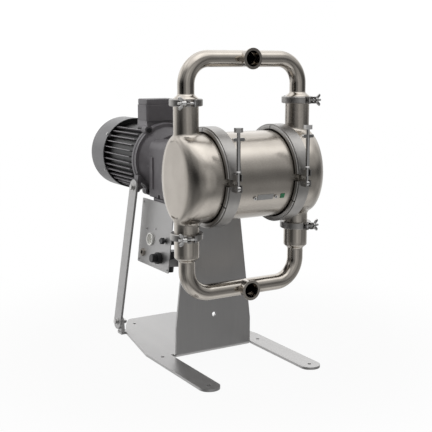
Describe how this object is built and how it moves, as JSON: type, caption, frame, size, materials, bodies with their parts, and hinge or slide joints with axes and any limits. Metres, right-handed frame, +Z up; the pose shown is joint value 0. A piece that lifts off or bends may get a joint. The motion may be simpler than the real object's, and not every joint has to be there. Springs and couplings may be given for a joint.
{
  "type": "electric double diaphragm pump",
  "caption": "Motor-driven hygienic double diaphragm pump with ball check valves, clamped U manifolds and two front ports, on a bent sheet stand with struts and an air panel.",
  "frame": {"origin": "centre of the four main base holes, on the underside of the base plate", "axes": "+Z up, +X along the pump axis to the right seen from the ports, -Y towards the side the ports face"},
  "size_m": [0.5142, 1.067, 1.006],
  "materials": {
    "stainless": "satin, glass-bead blasted",
    "stainless_bright": "machined",
    "cast_stainless": "cast, tumbled",
    "steel": "zinc plated",
    "grey_sheet": "satin sheet",
    "grey_paint": "semi-gloss enamel",
    "light_grey_paint": "semi-gloss enamel",
    "dark_bolt": "black oxide",
    "black_plastic": "moulded",
    "white_plastic": "smooth",
    "white_rubber": "smooth",
    "black_rubber": "smooth",
    "copper_core": "wound core",
    "gauge_body": "white dial in a grey case",
    "green_plastic": "smooth"
  },
  "bodies": {
    "pump_frame": {"stand": "grey_sheet", "motor_struts": "grey_sheet", "strut_bolts": "steel", "drum": "stainless", "cover_right": "stainless", "cover_left": "stainless", "manifold_top": "stainless", "manifold_bottom": "stainless", "valve_seats": "stainless_bright", "valve_stops": "stainless_bright", "pipe_gaskets": "black_rubber", "pipe_clamps": "cast_stainless", "bands": "cast_stainless", "diaphragm_right": "white_rubber", "diaphragm_left": "white_rubber", "stator": "copper_core", "bearings": "steel", "gear_case": "grey_paint", "bell_housing": "grey_paint", "end_shield": "grey_paint", "motor_frame": "grey_paint", "terminal_box": "grey_paint", "terminal_lid": "grey_paint", "cable_gland": "black_plastic", "fan_cowl": "light_grey_paint", "housing_bolts": "dark_bolt", "panel": "grey_sheet", "small_screws": "dark_bolt", "gauge": "gauge_body", "air_inlet": "steel", "regulator": "black_plastic", "air_valve": "black_plastic", "nameplate": "stainless_bright", "status_tag": "green_plastic"},
    "rotor": {"rotor": "steel", "fan": "black_plastic"},
    "layshaft": {"layshaft": "steel"},
    "crank": {"crank_shaft": "steel"},
    "diaphragm_slide": {"slide_shaft": "steel", "inner_plates": "steel", "outer_plates": "stainless_bright"},
    "gauge_needle": {"gauge_pointer": "black_plastic"},
    "regulator_knob": {"regulator_knob": "black_plastic"},
    "valve_knob": {"valve_knob": "black_plastic"},
    "band_rod_left": {"band_rod_left": "stainless_bright"},
    "band_rod_right": {"band_rod_right": "stainless_bright"},
    "band_nut_left": {"band_nut_left": "stainless_bright"},
    "band_nut_right": {"band_nut_right": "stainless_bright"},
    "ball_upper_left": {"ball_upper_left": "white_plastic"},
    "clamp_bolt_upper_left": {"clamp_bolt_upper_left": "stainless_bright"},
    "clamp_nut_upper_left": {"clamp_nut_upper_left": "stainless_bright"},
    "ball_upper_right": {"ball_upper_right": "white_plastic"},
    "clamp_bolt_upper_right": {"clamp_bolt_upper_right": "stainless_bright"},
    "clamp_nut_upper_right": {"clamp_nut_upper_right": "stainless_bright"},
    "ball_lower_left": {"ball_lower_left": "white_plastic"},
    "clamp_bolt_lower_left": {"clamp_bolt_lower_left": "stainless_bright"},
    "clamp_nut_lower_left": {"clamp_nut_lower_left": "stainless_bright"},
    "ball_lower_right": {"ball_lower_right": "white_plastic"},
    "clamp_bolt_lower_right": {"clamp_bolt_lower_right": "stainless_bright"},
    "clamp_nut_lower_right": {"clamp_nut_lower_right": "stainless_bright"}
  },
  "joints": [
    {"name": "rotor_spin", "type": "hinge", "parent": "pump_frame", "child": "rotor", "pos_m": [0, 0.5, 0.621], "axis": [0, 1, 0], "continuous": true},
    {"name": "layshaft_spin", "type": "hinge", "parent": "pump_frame", "child": "layshaft", "pos_m": [0, 0.25, 0.559], "axis": [0, 1, 0], "continuous": true},
    {"name": "crank_spin", "type": "hinge", "parent": "pump_frame", "child": "crank", "pos_m": [0, 0.1, 0.621], "axis": [0, 1, 0], "continuous": true},
    {"name": "diaphragm_stroke", "type": "slide", "parent": "pump_frame", "child": "diaphragm_slide", "axis": [1, 0, 0], "range_m": [-0.012, 0.012], "deforming": ["diaphragm_left", "diaphragm_right"]},
    {"name": "ball_lift_upper_left", "type": "slide", "parent": "pump_frame", "child": "ball_upper_left", "axis": [0, 0, 1], "range_m": [0, 0.009]},
    {"name": "ball_lift_upper_right", "type": "slide", "parent": "pump_frame", "child": "ball_upper_right", "axis": [0, 0, 1], "range_m": [0, 0.009]},
    {"name": "ball_lift_lower_left", "type": "slide", "parent": "pump_frame", "child": "ball_lower_left", "axis": [0, 0, 1], "range_m": [0, 0.009]},
    {"name": "ball_lift_lower_right", "type": "slide", "parent": "pump_frame", "child": "ball_lower_right", "axis": [0, 0, 1], "range_m": [0, 0.009]},
    {"name": "clamp_bolt_swing_upper_left", "type": "hinge", "parent": "pump_frame", "child": "clamp_bolt_upper_left", "pos_m": [-0.20397, -0.10269, 0.847], "axis": [0, 0, 1], "range_deg": [0, 95]},
    {"name": "clamp_nut_turn_upper_left", "type": "hinge", "parent": "clamp_bolt_upper_left", "child": "clamp_nut_upper_left", "pos_m": [-0.23038, -0.09707, 0.847], "axis": [-0.9781, 0.2079, 0], "continuous": true},
    {"name": "clamp_bolt_swing_upper_right", "type": "hinge", "parent": "pump_frame", "child": "clamp_bolt_upper_right", "pos_m": [0.20397, -0.10269, 0.847], "axis": [0, 0, -1], "range_deg": [0, 95]},
    {"name": "clamp_nut_turn_upper_right", "type": "hinge", "parent": "clamp_bolt_upper_right", "child": "clamp_nut_upper_right", "pos_m": [0.23038, -0.09707, 0.847], "axis": [0.9781, 0.2079, 0], "continuous": true},
    {"name": "clamp_bolt_swing_lower_left", "type": "hinge", "parent": "pump_frame", "child": "clamp_bolt_lower_left", "pos_m": [-0.20397, -0.10269, 0.448], "axis": [0, 0, 1], "range_deg": [0, 95]},
    {"name": "clamp_nut_turn_lower_left", "type": "hinge", "parent": "clamp_bolt_lower_left", "child": "clamp_nut_lower_left", "pos_m": [-0.23038, -0.09707, 0.448], "axis": [-0.9781, 0.2079, 0], "continuous": true},
    {"name": "clamp_bolt_swing_lower_right", "type": "hinge", "parent": "pump_frame", "child": "clamp_bolt_lower_right", "pos_m": [0.20397, -0.10269, 0.448], "axis": [0, 0, -1], "range_deg": [0, 95]},
    {"name": "clamp_nut_turn_lower_right", "type": "hinge", "parent": "clamp_bolt_lower_right", "child": "clamp_nut_lower_right", "pos_m": [0.23038, -0.09707, 0.448], "axis": [0.9781, 0.2079, 0], "continuous": true},
    {"name": "band_rod_swing_left", "type": "hinge", "parent": "pump_frame", "child": "band_rod_left", "pos_m": [-0.122, -0.208, 0.605], "axis": [1, 0, 0], "range_deg": [0, 75]},
    {"name": "band_nut_turn_left", "type": "hinge", "parent": "band_rod_left", "child": "band_nut_left", "pos_m": [-0.122, -0.208, 0.641], "axis": [0, 0, 1], "continuous": true},
    {"name": "band_rod_swing_right", "type": "hinge", "parent": "pump_frame", "child": "band_rod_right", "pos_m": [0.122, -0.208, 0.605], "axis": [1, 0, 0], "range_deg": [0, 75]},
    {"name": "band_nut_turn_right", "type": "hinge", "parent": "band_rod_right", "child": "band_nut_right", "pos_m": [0.122, -0.208, 0.641], "axis": [0, 0, 1], "continuous": true},
    {"name": "gauge_needle_turn", "type": "hinge", "parent": "pump_frame", "child": "gauge_needle", "pos_m": [-0.11978, 0.362, 0.36], "axis": [-0.9939, 0, 0.1104], "range_deg": [0, 270]},
    {"name": "regulator_knob_turn", "type": "hinge", "parent": "pump_frame", "child": "regulator_knob", "pos_m": [-0.12556, 0.283, 0.308], "axis": [-0.9939, 0, 0.1104], "continuous": true},
    {"name": "valve_knob_turn", "type": "hinge", "parent": "pump_frame", "child": "valve_knob", "pos_m": [-0.11856, 0.259, 0.371], "axis": [-0.9939, 0, 0.1104], "range_deg": [0, 90]}
  ],
  "couplings": [
    {"joint": "layshaft_spin", "follows": "rotor_spin", "ratio": -0.34783},
    {"joint": "crank_spin", "follows": "rotor_spin", "ratio": 0.14229}
  ]
}
